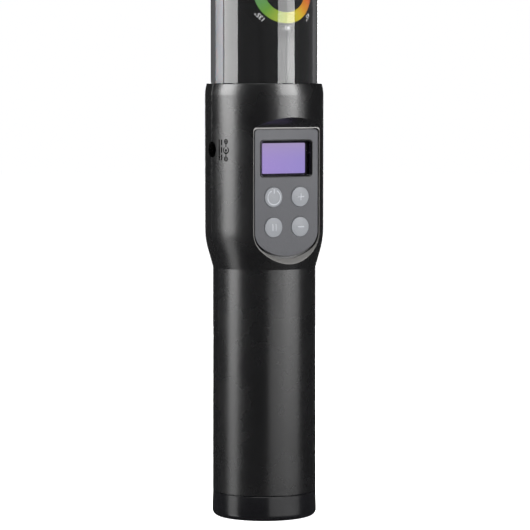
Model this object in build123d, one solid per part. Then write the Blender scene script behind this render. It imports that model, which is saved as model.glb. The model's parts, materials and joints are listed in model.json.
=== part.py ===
from build123d import *
from math import asin, atan2, cos, degrees, radians, sin, sqrt
import os

# Hand-held LED light tube: a moulded two-half handle with a control panel, and a clear tube above it.
# Millimetres, +Z up, origin at the bottom centre of the end cap.
# The control panel faces -Y, the charging inlet faces -X, the light comes out towards +Y.

# ---- overall heights ----
TOTAL_H = 530.0
CAP_TOP_Z = 10.95
HANDLE_BOTTOM_Z = 11.05
CREASE_Z = 110.0
TAPER_TOP_Z = 127.1
COLLAR_STRAIGHT_Z = 185.7
HANDLE_TOP_Z = 190.8

# ---- handle outline ----
GRIP_R = 22.6
GRIP_BASE_R = 22.8
COLLAR_R = 26.04
TAPER_ARC_R = 35.0
TAPER_ANGLE = 16.8
CROWN_ARC_R = 16.0
CROWN_DROP = 0.6
EDGE_BEVEL = 0.3
WALL = 2.3
HANDLE_SPAN = 40.0
FIT_GAP = 0.03
TOP_OPENING_R = 23.7
SEAM_GAP = 0.05
SEAM_DEPTH = 0.06
SEAM_HALF_W = 0.26
TONGUE_REACH = 1.4
TONGUE_DEPTH = 1.2

# ---- end cap ----
CAP_R = 23.0
CAP_TOP_R = 22.8
CAP_FOOT_R = 2.4
CAP_FLOOR = 4.0
SPIGOT_R = 19.05
SPIGOT_ROOT_R = 18.3
SPIGOT_TOP_Z = 19.4
SPIGOT_BEVEL = 0.5
SPIGOT_THREAD_Z = (13.6, 18.9)
SPIGOT_BORE_R = 15.5
BUSH_BOSS_R = 8.0
BUSH_BOSS_TOP_Z = 11.5
BUSH_R = 4.8
BUSH_LENGTH = 9.5
BUSH_FOOT_Z = 0.35
TRIPOD_THREAD_R = 3.175
BUSH_FLANGE_R = 6.4
BUSH_FLANGE_T = 1.0
SEAL_GROOVE_Z = 12.5
SEAL_GROOVE_H = 1.8
SEAL_GROOVE_R = 18.35
SEAL_RING_R = 19.2
SEAL_SECTION_R = 0.8
THREAD_RING_Z = (13.6, 20.2)
THREAD_RING_R = (19.12, 20.15)

# ---- battery pack ----
CELL_R = 9.2
CELL_H = 65.0
CELL_Z = 24.6
CELL_PITCH_R = 9.26 * 2.0 / sqrt(3.0)
CELL_CAN_H = 63.6
CELL_BUTTON_R = 3.4
CELL_EDGE_R = 0.8
WRAP_INSET = 0.4
WRAP_GAP = 0.04
WRAP_T = 0.18
STRIP_T = 0.2
STRIP_GAP = 0.02
STRIP_W = 7.0
FOAM_Z = (20.6, 23.9)
FOAM_R = 19.6
PAPER_Z = (90.4, 90.8)
PAPER_R = 19.4
PAPER_HOLE_R = 4.0
PROTECTION_Z = (92.6, 93.8)
PROTECTION_R = 17.5
# x range, y range and height of each part on the protection board
PROTECTION_PARTS = (
    ((-10, -5), (2, 8), 1.4),
    ((-3, 2), (2, 8), 1.4),
    ((5, 10), (3, 7), 1.2),
    ((-9, -6), (-3, -1), 0.6),
    ((6, 9), (-3, -1), 0.6),
)
BULKHEAD_Z = (97.4, 99.8)
BULKHEAD_R = 20.1
LEAD_HOLE_R = 5.0
LEAD_HOLE_XY = (0.0, -9.0)

# ---- control panel ----
PANEL_Y = -20.0
LEDGE_Y = -18.0
LEDGE_BACK_Y = -16.4
PANEL_TOP_Z = 170.9
CORNER_CENTRE = (7.0, 126.7)
CORNER_R = 8.75
BASE_ARC_R = 20.75
BASE_ARC_Z = CORNER_CENTRE[1] + sqrt((BASE_ARC_R - CORNER_R) ** 2 - CORNER_CENTRE[0] ** 2)
TOP_CORNER_R = 1.5
FASCIA_GAP = 0.4
BEZEL_T = 0.3
BEZEL_LIP = 0.2
BEZEL_RUN_OUT = 0.8
POCKET_DROP = 0.6
POCKET_REACH = 7.0
SIDE_SLOPE = 0.6
CEILING_SLOPE = 0.76
LEDGE_OPENING = (27.2, 49.0, 3.0)
LEDGE_OPENING_Z = 144.0
DISPLAY_Z = 158.3
FRAME_SIZE = (26.2, 16.3, 1.6)
LCD_VIEW = (21.3, 13.2)
FRAME_RIM = 0.25
FRAME_BEVELS = (0.15, 0.7)
FRAME_OPENING = (24.2, 14.3, 0.8)
LENS_Y = (-19.2, -18.35)
LCD_Y = (-17.4, -17.25, -15.75)
LCD_SIDE = (25.0, 15.4)
LCD_CORNERS = (0.3, 0.5)
TRAY_SIDE = (25.6, 16.2)
TRAY_HOLLOW = (21.0, 11.6)
TRAY_CORNER = 0.8
TRAY_Y = (-15.7, -15.0)
BUTTON_X = 6.6
BUTTON_ROWS = (141.6, 128.5)
BUTTON_R = 4.3
BUTTON_HOLE_R = 4.42
BUTTON_BEVEL = 0.15
BUTTON_EDGE_Y = -20.45
BUTTON_CROWN_Y = -21.0
BUTTON_FLANGE_R = 5.3
BUTTON_FLANGE_Y = (-17.95, -17.2)
BUTTON_STEM_R = 2.2
BUTTON_STEM_Y = -16.2

# ---- control board ----
BOARD_Y = (-12.6, -11.0)
BOARD_Z = (116.8, 169.8)
BOARD_HALF_W = 14.6
SWITCH_SIDE = 6.0
SWITCH_FRONT_Y = -15.4
SWITCH_BORE_R = 1.85
SWITCH_FLOOR_Y = -13.4
PLUNGER_R = 1.75
PLUNGER_BACK_Y = -14.5
BOARD_FIXINGS = ((-12.4, 147.4), (12.4, 147.4), (-9.0, 119.6), (9.0, 119.6))
BOARD_BOSS_R = 2.3
BOARD_CORNER = 2.0
BOARD_HOLE_R = 1.3
BOARD_HEAD = (2.0, 1.3)
BOARD_SHANK = (0.85, -16.6)
DRIVER_SLOT = (2.4, 0.6, 0.25)
SLOT_DEPTH = 0.6
# x, z, width, height, corner radius and thickness of each part on the back of the board
BOARD_PARTS = (
    (2.5, 153.0, 7.0, 7.0, 0.2, 1.1),
    (-7.0, 140.0, 5.0, 4.0, 0.2, 1.4),
    (6.5, 139.5, 8.0, 8.0, 1.2, 4.2),
    (-6.5, 129.5, 6.0, 6.0, 0.8, 3.2),
    (2.0, 121.2, 8.0, 5.4, 0.3, 5.2),
    (0.5, 165.6, 9.0, 5.4, 0.3, 5.2),
    (-1.0, 132.0, 2.0, 1.2, 0.1, 0.6),
    (-1.0, 135.0, 2.0, 1.2, 0.1, 0.6),
    (-1.0, 138.0, 2.0, 1.2, 0.1, 0.6),
)
CAPACITOR_XZ = (8.5, 129.0)
CAPACITOR_R = 3.1
CAPACITOR_H = 6.0

# ---- charging inlet ----
JACK_Z = 162.0
JACK_HOLE_R = 3.5
JACK_X = (-22.6, -9.6)
JACK_SIDE = (9.0, 10.6)
JACK_BORE_R = 3.15
JACK_BORE_DEPTH = 9.6
JACK_PIN_R = 1.0
JACK_PIN_X = (-21.4, -9.3)
JACK_PIN_BEVEL = 0.35
JACK_SLOT_X = (-19.4, -14.2)
JACK_SLOT_HALF_W = 1.2
JACK_SLOT_DROP = 2.0
LEAF_X = (-19.0, -14.6)
LEAF_T = 0.5
LEAF_HALF_W = 1.0
LEAF_DROP = (3.5, 3.9)

# ---- shell fixings ----
SHELL_FIXINGS = ((-13.0, 173.0), (13.0, 173.0), (-12.6, 112.6), (12.6, 112.6))
SHELL_BOSS_R = 2.9
SHELL_HEAD_Y = 9.0
SHELL_SHANK_R = 1.25

# ---- light tube ----
TUBE_R = 23.5
TUBE_WALL = 1.8
TUBE_BEVEL = 0.3
TUBE_Z = (179.1, 523.8)
SHOULDER_Z = (176.4, 178.3)
SHOULDER_R = 20.8
GASKET_R = (21.2, 23.4)
PLUG_Z = (181.0, 188.6)
PLUG_R = 21.55
PLUG_HOLE = (-2.0, 5.0)
PLUG_GROOVE_Z = (184.0, 185.6)
PLUG_GROOVE_DEPTH = 1.1
PLUG_SEAL_Z = 184.8
PLUG_SEAL_RING_R = 20.93
PLUG_SEAL_SECTION_R = 0.45
CORE_Z = (189.0, 511.5)
CORE_R = 21.3
CORE_WALL = 1.5
CORE_HALF_ANGLE = 79.0
CORE_TURN = -3.0
WEB_Y = (-5.6, -4.0)
CORE_BOSS_XY = (13.5, -8.0)
CORE_BOSS_R = 2.7
CORE_BOSS_BORE_R = 1.3
WEB_INSET = 0.4
DIFFUSER_GAP_ANGLE = 0.4
SCREW_BORE_R = 1.05
DIFFUSER_WALL = 1.2
LABEL_Z = 231.1
LABEL_RADII = (9.0, 19.2)
LABEL_T = 0.1
LABEL_GAP = 0.01
LED_BOARD_HALF_W = 13.5
LED_BOARD_T = 1.2
LED_BOARD_Z = (192.0, 508.0)
LED_COLUMNS = (-7.0, 7.0)
LED_ROWS = 22
LED_PITCH = 14.0
LED_FIRST_Z = 203.0
LED_SIDE = 5.0
LED_T = 1.5
LED_SCREW_ROWS = (196.0, 350.0, 504.0)
LED_CORNER = 0.4
LED_LENS = (2.0, 0.3)
LED_BOARD_HOLE_R = 1.3
LED_HEAD = (2.2, 1.4)
LED_SLOT = (2.6, 0.6, 0.25)
LED_SHANK_R = 1.0
TIP_REACH = 0.1

# ---- top cap ----
TOP_CAP_R = 24.5
TOP_CAP_Z = 512.8
TOP_CAP_EDGE_R = 2.4
TOP_CAP_BORE_R = 23.62
TOP_PLUG_R = 21.4
TOP_PLUG_Z = 512.6
TOP_PLUG_HOLLOW_R = 18.9
TOP_ROOF_Z = 524.0
TOP_ROOF_T = 9.0
SKIRT_BEVEL = 0.5
TOP_SEAL_Z = 518.0
TOP_SEAL_RING_R = 20.95
TOP_SEAL_SECTION_R = 0.65
TOP_GROOVE_R = 20.25
TOP_GROOVE_Z = (517.2, 518.8)
TOP_PILLAR_R = 3.6
TOP_PILLAR_Z = 511.6
TOP_SCREW_HOLE_R = 1.7
TOP_COUNTERBORE_R = 3.2
TOP_HEAD_Z = (527.8, 529.5)
TOP_HEAD_R = 2.9
TOP_SHANK_R = 1.25
TOP_SHANK_Z = 502.5
CROSS_SLOT = (3.2, 0.8, 1.8)

# ---- leads ----
BATTERY_LEAD_X = (0.9, 3.1)
BATTERY_LEAD_Y = (-9.0, -8.0)
BATTERY_LEAD_TOP_Z = 118.4
BATTERY_LEAD_R = 0.75
BATTERY_BEND_Z = 103.0
LED_LEAD_X = (-2.4, -0.8, 0.8, 2.4)
LED_LEAD_Y = (-8.0, -2.0)
LED_LEAD_Z = (168.4, 193.4)
LED_LEAD_R = 0.55
LED_BEND_Z = 168.6
INLET_LEADS = ((160.4, -4.5), (158.0, -6.5))
INLET_LEAD_Y = 1.6
INLET_LEAD_R = 0.7
INLET_BEND_R = 2.5
HALF_BEND = radians(22.5)

PANEL_PLANE = Plane(origin=(0, 0, 0), x_dir=(1, 0, 0), z_dir=(0, -1, 0))


def at_depth(y):
    """A plane that faces -Y at depth y, with its own x along X and its own y along Z."""
    return PANEL_PLANE.offset(-y)


def ring(outer_r, inner_r, low, high):
    """A plain ring about the Z axis."""
    body = Cylinder(outer_r, high - low, align=(Align.CENTER, Align.CENTER, Align.MIN))
    hole = Cylinder(inner_r, high - low, align=(Align.CENTER, Align.CENTER, Align.MIN))
    return Pos(0, 0, low) * (body - hole)


def disc(radius, low, high):
    """A plain disc about the Z axis."""
    return Pos(0, 0, low) * Cylinder(radius, high - low, align=(Align.CENTER, Align.CENTER, Align.MIN))


def block(x_pair, y_pair, z_pair):
    """A box between two corners."""
    size = (x_pair[1] - x_pair[0], y_pair[1] - y_pair[0], z_pair[1] - z_pair[0])
    middle = (sum(x_pair) / 2, sum(y_pair) / 2, sum(z_pair) / 2)
    return Pos(*middle) * Box(*size)


def rod_y(x, z, radius, y_pair):
    """A cylinder along Y."""
    face = at_depth(y_pair[1]) * Pos(x, z) * Circle(radius)
    return extrude(face, y_pair[1] - y_pair[0])


def rod_x(y, z, radius, x_pair):
    """A cylinder along X."""
    face = Plane(origin=(x_pair[0], y, z), x_dir=(0, 1, 0), z_dir=(1, 0, 0)) * Circle(radius)
    return extrude(face, x_pair[1] - x_pair[0])


def slab_y(x, z, width, height, corner, y_pair):
    """A plate that faces -Y, with rounded corners."""
    face = at_depth(y_pair[1]) * Pos(x, z) * RectangleRounded(width, height, corner)
    return extrude(face, y_pair[1] - y_pair[0])


def turned(edges):
    """A solid of revolution about Z from a closed outline in the XZ half plane."""
    face = Plane.XZ * make_face(edges)
    return revolve(face, Axis.Z)


# ---------------------------------------------------------------- handle shells


def handle_outline(inset, low):
    """The handle profile moved inwards by inset, closed to the axis."""
    bend = radians(TAPER_ANGLE)
    taper_r = TAPER_ARC_R - inset
    centre_r = COLLAR_R - TAPER_ARC_R
    bend_at = (centre_r + taper_r * cos(bend), TAPER_TOP_Z - taper_r * sin(bend))
    half = bend / 2
    taper_mid = (centre_r + taper_r * cos(half), TAPER_TOP_Z - taper_r * sin(half))
    crown_r = CROWN_ARC_R - inset
    crown_rise = asin((HANDLE_TOP_Z - CROWN_DROP - COLLAR_STRAIGHT_Z) / CROWN_ARC_R)
    crown_centre = COLLAR_R - CROWN_ARC_R
    crown_end = (crown_centre + crown_r * cos(crown_rise), COLLAR_STRAIGHT_Z + crown_r * sin(crown_rise))
    half = crown_rise / 2
    crown_mid = (crown_centre + crown_r * cos(half), COLLAR_STRAIGHT_Z + crown_r * sin(half))
    high = crown_end[1] + CROWN_DROP
    lip = (crown_end[0] - CROWN_DROP, high)
    reach = CROWN_DROP * sin(radians(45))
    lip_mid = (lip[0] + reach, crown_end[1] + reach)
    grip_r = GRIP_R - inset
    base_r = GRIP_BASE_R - inset
    return [
        Line((0, low), (base_r - EDGE_BEVEL, low)),
        Line((base_r - EDGE_BEVEL, low), (base_r, low + EDGE_BEVEL)),
        Line((base_r, low + EDGE_BEVEL), (grip_r, CREASE_Z)),
        Line((grip_r, CREASE_Z), bend_at),
        ThreePointArc(bend_at, taper_mid, (COLLAR_R - inset, TAPER_TOP_Z)),
        Line((COLLAR_R - inset, TAPER_TOP_Z), (COLLAR_R - inset, COLLAR_STRAIGHT_Z)),
        ThreePointArc((COLLAR_R - inset, COLLAR_STRAIGHT_Z), crown_mid, crown_end),
        ThreePointArc(crown_end, lip_mid, lip),
        Line(lip, (0, high)),
        Line((0, high), (0, low)),
    ]


def handle_solid():
    """The full outside of the handle."""
    return turned(handle_outline(0.0, HANDLE_BOTTOM_Z))


def handle_cavity():
    """The space inside the handle walls: the battery bore, the collar chamber and the tube socket."""
    bore_r = GRIP_R - WALL
    chamber_r = COLLAR_R - WALL
    grow_z = CREASE_Z + 2.0
    lower = [
        Line((0, HANDLE_BOTTOM_Z - 1), (bore_r, HANDLE_BOTTOM_Z - 1)),
        Line((bore_r, HANDLE_BOTTOM_Z - 1), (bore_r, grow_z)),
        Line((bore_r, grow_z), (chamber_r, TAPER_TOP_Z + 3)),
        Line((chamber_r, TAPER_TOP_Z + 3), (chamber_r, SHOULDER_Z[0])),
        Line((chamber_r, SHOULDER_Z[0]), (SHOULDER_R, SHOULDER_Z[0])),
        Line((SHOULDER_R, SHOULDER_Z[0]), (SHOULDER_R, SHOULDER_Z[1])),
        Line((SHOULDER_R, SHOULDER_Z[1]), (TOP_OPENING_R, SHOULDER_Z[1])),
        Line((TOP_OPENING_R, SHOULDER_Z[1]), (TOP_OPENING_R, HANDLE_TOP_Z + 1)),
        Line((TOP_OPENING_R, HANDLE_TOP_Z + 1), (0, HANDLE_TOP_Z + 1)),
        Line((0, HANDLE_TOP_Z + 1), (0, HANDLE_BOTTOM_Z - 1)),
    ]
    return turned(lower)


def seam_profile(inset_near, inset_far):
    """The wall layer between two insets from the outside, for the tongue and its rebate."""
    outer = turned(handle_outline(inset_near, HANDLE_BOTTOM_Z + 2))
    inner = turned(handle_outline(inset_far, HANDLE_BOTTOM_Z + 1))
    return outer - inner


def seam_groove():
    """A shallow V that follows the outside profile along the parting plane."""
    middle = Plane.XZ * make_face(handle_outline(SEAM_DEPTH, HANDLE_BOTTOM_Z))
    edge = Plane.XZ.offset(SEAM_HALF_W) * make_face(handle_outline(0.0, HANDLE_BOTTOM_Z))
    quarter = loft([middle, edge], ruled=True)
    front = quarter + mirror(quarter, Plane.YZ)
    slab = block((-HANDLE_SPAN, HANDLE_SPAN), (-SEAM_HALF_W, SEAM_HALF_W), (HANDLE_BOTTOM_Z, HANDLE_TOP_Z))
    return slab - front - mirror(front, Plane.XZ)


def panel_outline(grow, rise, drop):
    """The panel outline in the panel plane: straight sides, square-ish top, three-arc bottom."""
    corner_r = CORNER_R + grow
    base_r = BASE_ARC_R + grow
    half_w = CORNER_CENTRE[0] + corner_r
    top = PANEL_TOP_Z + rise
    corner_z = CORNER_CENTRE[1] - drop
    base_z = BASE_ARC_Z - drop
    turn = degrees(atan2(base_z - corner_z, CORNER_CENTRE[0]))
    top_r = TOP_CORNER_R
    edges = [
        Line((half_w, top - top_r), (half_w, corner_z)),
        CenterArc((CORNER_CENTRE[0], corner_z), corner_r, 0, -turn),
        CenterArc((0, base_z), base_r, -turn, 2 * turn - 180),
        CenterArc((-CORNER_CENTRE[0], corner_z), corner_r, turn - 180, -turn),
        Line((-half_w, corner_z), (-half_w, top - top_r)),
        CenterArc((-half_w + top_r, top - top_r), top_r, 180, -90),
        Line((-half_w + top_r, top), (half_w - top_r, top)),
        CenterArc((half_w - top_r, top - top_r), top_r, 90, -90),
    ]
    return make_face(edges)


def panel_prism(grow, drop, y_pair):
    """A straight plate with the panel outline, its base lowered by drop."""
    return extrude(at_depth(y_pair[1]) * panel_outline(grow, grow, drop), y_pair[1] - y_pair[0])


def panel_flare(grow):
    """The pocket outline opening outwards from the panel face, more at the ceiling than elsewhere."""
    near = at_depth(PANEL_Y) * panel_outline(grow, grow, POCKET_DROP)
    wide = grow + SIDE_SLOPE * POCKET_REACH
    high = grow + CEILING_SLOPE * POCKET_REACH
    far = at_depth(PANEL_Y - POCKET_REACH) * panel_outline(wide, high, POCKET_DROP)
    return loft([near, far], ruled=True)


def panel_recess():
    """Everything removed from the front shell for the panel, its lining and the board behind it."""
    wall = panel_prism(FASCIA_GAP, POCKET_DROP, (PANEL_Y, LEDGE_Y))
    opening = slab_y(0, LEDGE_OPENING_Z, *LEDGE_OPENING, (LEDGE_Y - 1, LEDGE_BACK_Y + 1))
    return wall + panel_flare(FASCIA_GAP + BEZEL_T) + opening


def front_shell():
    """Front half of the handle, with the panel pocket, board bosses and screw bosses."""
    outside = handle_solid()
    keep = block((-40, 40), (-40, -SEAM_GAP), (0, 300))
    wall = outside - handle_cavity()
    backing = block((-24, 24), (-30, LEDGE_BACK_Y), (112.6, SHOULDER_Z[0] + 0.5))
    shell = wall + (outside & backing)
    for x, z in SHELL_FIXINGS:
        shell += rod_y(x, z, SHELL_BOSS_R, (LEDGE_BACK_Y - 0.5, 0))
    shell = shell & keep
    rebate = seam_profile(TONGUE_DEPTH, WALL + 1.5) & block((-40, 40), (-TONGUE_REACH - 0.15, 1), (0, 300))
    shell -= rebate & block((-40, 40), (-2, 1), (24, 171))
    shell -= seam_groove()
    shell -= panel_recess()
    for x, z in SHELL_FIXINGS:
        shell -= rod_y(x, z, SHELL_SHANK_R + 0.05, (-12.5, 1))
    for x, z in BOARD_FIXINGS:
        boss = rod_y(x, z, BOARD_BOSS_R, (LEDGE_Y, BOARD_Y[0]))
        shell += boss
        shell -= rod_y(x, z, 0.9, (LEDGE_Y + 0.8, BOARD_Y[0] + 0.1))
    shell -= rod_x(0, JACK_Z, JACK_HOLE_R, (-30, -20))
    return shell


def rear_shell():
    """Rear half of the handle, with the tongue, the counterbored bosses and the jack cradle."""
    outside = handle_solid()
    keep = block((-40, 40), (SEAM_GAP, 40), (0, 300))
    shell = outside - handle_cavity()
    for x, z in SHELL_FIXINGS:
        boss = rod_y(x, z, SHELL_BOSS_R + 1.2, (0, 30))
        shell += boss & outside
    shell = shell & keep
    tongue = seam_profile(TONGUE_DEPTH + 0.1, WALL - 0.05)
    tongue = tongue & block((-40, 40), (-TONGUE_REACH, SEAM_GAP + 0.1), (24.2, 170.8))
    shell += tongue
    shell -= seam_groove()
    for x, z in SHELL_FIXINGS:
        shell -= rod_y(x, z, SHELL_SHANK_R + 0.35, (-1, 30))
        shell -= rod_y(x, z, 2.7, (SHELL_HEAD_Y, 30))
    for z in (JACK_Z - JACK_SIDE[1] / 2 - 1.3, JACK_Z + JACK_SIDE[1] / 2 + 0.1):
        shell += block((-24.4, -12), (SEAM_GAP, 5.5), (z, z + 1.2)) & outside
    shell += block((-24.4, -12), (JACK_SIDE[0] / 2 + 0.1, 5.7), (JACK_Z - 5.5, JACK_Z + 5.5)) & outside
    shell -= rod_x(0, JACK_Z, JACK_HOLE_R, (-30, -20))
    return shell


def shell_screws():
    """Four screws through the rear shell bosses into the front shell."""
    screws = []
    for x, z in SHELL_FIXINGS:
        head = rod_y(x, z, 2.4, (SHELL_HEAD_Y, SHELL_HEAD_Y + 1.9))
        cross = slab_y(x, z, 2.8, 0.7, 0.3, (SHELL_HEAD_Y + 0.9, SHELL_HEAD_Y + 3))
        cross += slab_y(x, z, 0.7, 2.8, 0.3, (SHELL_HEAD_Y + 0.9, SHELL_HEAD_Y + 3))
        shank = rod_y(x, z, SHELL_SHANK_R, (-10, SHELL_HEAD_Y))
        screws.append(head - cross + shank)
    return Compound(screws)


# ---------------------------------------------------------------- control panel


def control_fascia():
    """Flat grey panel plate with the display window and four button holes."""
    plate = panel_prism(0, 0, (PANEL_Y, LEDGE_Y))
    front_edges = plate.faces().sort_by(Axis.Y)[0].edges()
    plate = chamfer(front_edges, 0.18)
    plate -= slab_y(0, DISPLAY_Z, FRAME_SIZE[0] + 0.1, FRAME_SIZE[1] + 0.1, FRAME_SIZE[2], (-21, -17))
    for x, z in button_centres():
        plate -= rod_y(x, z, BUTTON_HOLE_R, (-21, -17))
    return plate


def fascia_bezel():
    """Silver lining of the pocket's sloping face, from the panel face out to the collar."""
    flare = panel_flare(FASCIA_GAP + BEZEL_T - FIT_GAP) - panel_flare(FASCIA_GAP)
    skin = turned(handle_outline(FIT_GAP, HANDLE_BOTTOM_Z))
    high_side = (PANEL_TOP_Z - BEZEL_RUN_OUT, HANDLE_TOP_Z)
    ceiling = block((-HANDLE_SPAN, HANDLE_SPAN), (-HANDLE_SPAN, PANEL_Y - BEZEL_LIP), high_side)
    return flare & skin - ceiling


def screen_frame():
    """Black window frame: a thin raised rim, sloping inwards to straight inner walls."""
    width, height, corner = FRAME_SIZE
    frame = slab_y(0, DISPLAY_Z, width, height, corner, (PANEL_Y - FRAME_RIM, LCD_Y[1] - FIT_GAP))
    frame -= slab_y(0, DISPLAY_Z, *FRAME_OPENING, (PANEL_Y - 1, LEDGE_Y + 2))
    outer_bevel, inner_bevel = FRAME_BEVELS
    front = frame.faces().sort_by(Axis.Y)[0]
    frame = chamfer(front.outer_wire().edges(), outer_bevel)
    front = frame.faces().sort_by(Axis.Y)[0]
    return chamfer(front.inner_wires()[0].edges(), inner_bevel)


def screen_lens():
    """Clear window pane held inside the frame."""
    width, height, corner = FRAME_OPENING
    return slab_y(0, DISPLAY_Z, width - 2 * FIT_GAP, height - 2 * FIT_GAP, corner - FIT_GAP, LENS_Y)


def lcd_panel():
    """Display glass behind the pane, with its active area raised by a fine step."""
    active_y, glass_y, back_y = LCD_Y
    glass = slab_y(0, DISPLAY_Z, *LCD_SIDE, LCD_CORNERS[0], (glass_y, back_y))
    active = slab_y(0, DISPLAY_Z, *LCD_VIEW, LCD_CORNERS[1], (active_y, glass_y))
    return glass + active


def lcd_holder():
    """White light guide tray between the display glass and the board."""
    tray = slab_y(0, DISPLAY_Z, *TRAY_SIDE, TRAY_CORNER, (TRAY_Y[0], BOARD_Y[0]))
    tray -= slab_y(0, DISPLAY_Z, *TRAY_HOLLOW, TRAY_CORNER, (TRAY_Y[1], BOARD_Y[0] + 1))
    return tray


def button_centres():
    """Centres of the four buttons, row by row from the top left."""
    centres = []
    for z in BUTTON_ROWS:
        for x in (-BUTTON_X, BUTTON_X):
            centres.append((x, z))
    return centres


def button(x, z):
    """One domed button with its retaining flange and stem."""
    edge_r = BUTTON_R - BUTTON_BEVEL
    rise = BUTTON_EDGE_Y - BUTTON_CROWN_Y
    dome_r = (edge_r ** 2 + rise ** 2) / (2 * rise)
    half_way = (edge_r / 2, BUTTON_CROWN_Y + dome_r - sqrt(dome_r ** 2 - (edge_r / 2) ** 2))
    outline = [
        Line((0, BUTTON_STEM_Y), (BUTTON_STEM_R, BUTTON_STEM_Y)),
        Line((BUTTON_STEM_R, BUTTON_STEM_Y), (BUTTON_STEM_R, BUTTON_FLANGE_Y[1])),
        Line((BUTTON_STEM_R, BUTTON_FLANGE_Y[1]), (BUTTON_FLANGE_R, BUTTON_FLANGE_Y[1])),
        Line((BUTTON_FLANGE_R, BUTTON_FLANGE_Y[1]), (BUTTON_FLANGE_R, BUTTON_FLANGE_Y[0])),
        Line((BUTTON_FLANGE_R, BUTTON_FLANGE_Y[0]), (BUTTON_R, BUTTON_FLANGE_Y[0])),
        Line((BUTTON_R, BUTTON_FLANGE_Y[0]), (BUTTON_R, BUTTON_EDGE_Y + BUTTON_BEVEL)),
        Line((BUTTON_R, BUTTON_EDGE_Y + BUTTON_BEVEL), (edge_r, BUTTON_EDGE_Y)),
        ThreePointArc((edge_r, BUTTON_EDGE_Y), half_way, (0, BUTTON_CROWN_Y)),
        Line((0, BUTTON_CROWN_Y), (0, BUTTON_STEM_Y)),
    ]
    return Pos(x, 0, z) * revolve(make_face(outline), Axis.Y)


def switch_plunger(x, z):
    """The moving centre of one tact switch."""
    return rod_y(x, z, PLUNGER_R, (BUTTON_STEM_Y, PLUNGER_BACK_Y))


def tact_switches():
    """Four square switch bodies, each with a blind bore for its plunger."""
    bodies = []
    for x, z in button_centres():
        body = slab_y(x, z, SWITCH_SIDE, SWITCH_SIDE, 0.5, (SWITCH_FRONT_Y, BOARD_Y[0]))
        bodies.append(body - rod_y(x, z, SWITCH_BORE_R, (SWITCH_FRONT_Y - 1, SWITCH_FLOOR_Y)))
    return Compound(bodies)


def control_board():
    """Main board behind the panel, with four fixing holes."""
    middle = sum(BOARD_Z) / 2
    board = slab_y(0, middle, 2 * BOARD_HALF_W, BOARD_Z[1] - BOARD_Z[0], BOARD_CORNER, BOARD_Y)
    for x, z in BOARD_FIXINGS:
        board -= rod_y(x, z, BOARD_HOLE_R, (BOARD_Y[0] - 1, BOARD_Y[1] + 1))
    return board


def board_components():
    """Chips, coils, capacitors and the two lead connectors on the back of the board."""
    back = BOARD_Y[1]
    parts = [rod_y(*CAPACITOR_XZ, CAPACITOR_R, (back, back + CAPACITOR_H))]
    for x, z, width, height, corner, thickness in BOARD_PARTS:
        parts.append(slab_y(x, z, width, height, corner, (back, back + thickness)))
    return Compound(parts)


def board_screws():
    """Four pan-head screws that hold the board to the front shell."""
    screws = []
    for x, z in BOARD_FIXINGS:
        top_y = BOARD_Y[1] + BOARD_HEAD[1]
        head = rod_y(x, z, BOARD_HEAD[0], (BOARD_Y[1], top_y))
        head -= slab_y(x, z, *DRIVER_SLOT, (top_y - SLOT_DEPTH, top_y + 1))
        screws.append(head + rod_y(x, z, BOARD_SHANK[0], (BOARD_SHANK[1], BOARD_Y[1])))
    return Compound(screws)


# ---------------------------------------------------------------- charging inlet


def dc_jack_body():
    """Moulded body of the barrel inlet behind the hole in the shells."""
    width, height = JACK_SIDE
    body = block(JACK_X, (-width / 2, width / 2), (JACK_Z - height / 2, JACK_Z + height / 2))
    body -= rod_x(0, JACK_Z, JACK_BORE_R, (JACK_X[0] - 1, JACK_X[0] + JACK_BORE_DEPTH))
    body -= rod_x(0, JACK_Z, JACK_PIN_R, (JACK_X[0], JACK_X[1] + 1))
    slot_y = (-JACK_SLOT_HALF_W, JACK_SLOT_HALF_W)
    body -= block(JACK_SLOT_X, slot_y, (JACK_Z - height, JACK_Z - JACK_SLOT_DROP))
    return body


def dc_jack_pin():
    """Centre pin, with its tail through the back of the body."""
    pin = rod_x(0, JACK_Z, JACK_PIN_R, JACK_PIN_X)
    tip = pin.faces().sort_by(Axis.X)[0].edges()
    return chamfer(tip, JACK_PIN_BEVEL)


def dc_jack_spring():
    """Outer sleeve contact: a bent leaf in the slot of the body."""
    low = JACK_Z - JACK_SIDE[1] / 2
    top = JACK_Z - LEAF_DROP[0]
    leaf_y = (-LEAF_HALF_W, LEAF_HALF_W)
    leaf = block((LEAF_X[0], LEAF_X[0] + LEAF_T), leaf_y, (low, top))
    leaf += block(LEAF_X, leaf_y, (JACK_Z - LEAF_DROP[1], top))
    return leaf


# ---------------------------------------------------------------- end cap


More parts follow.
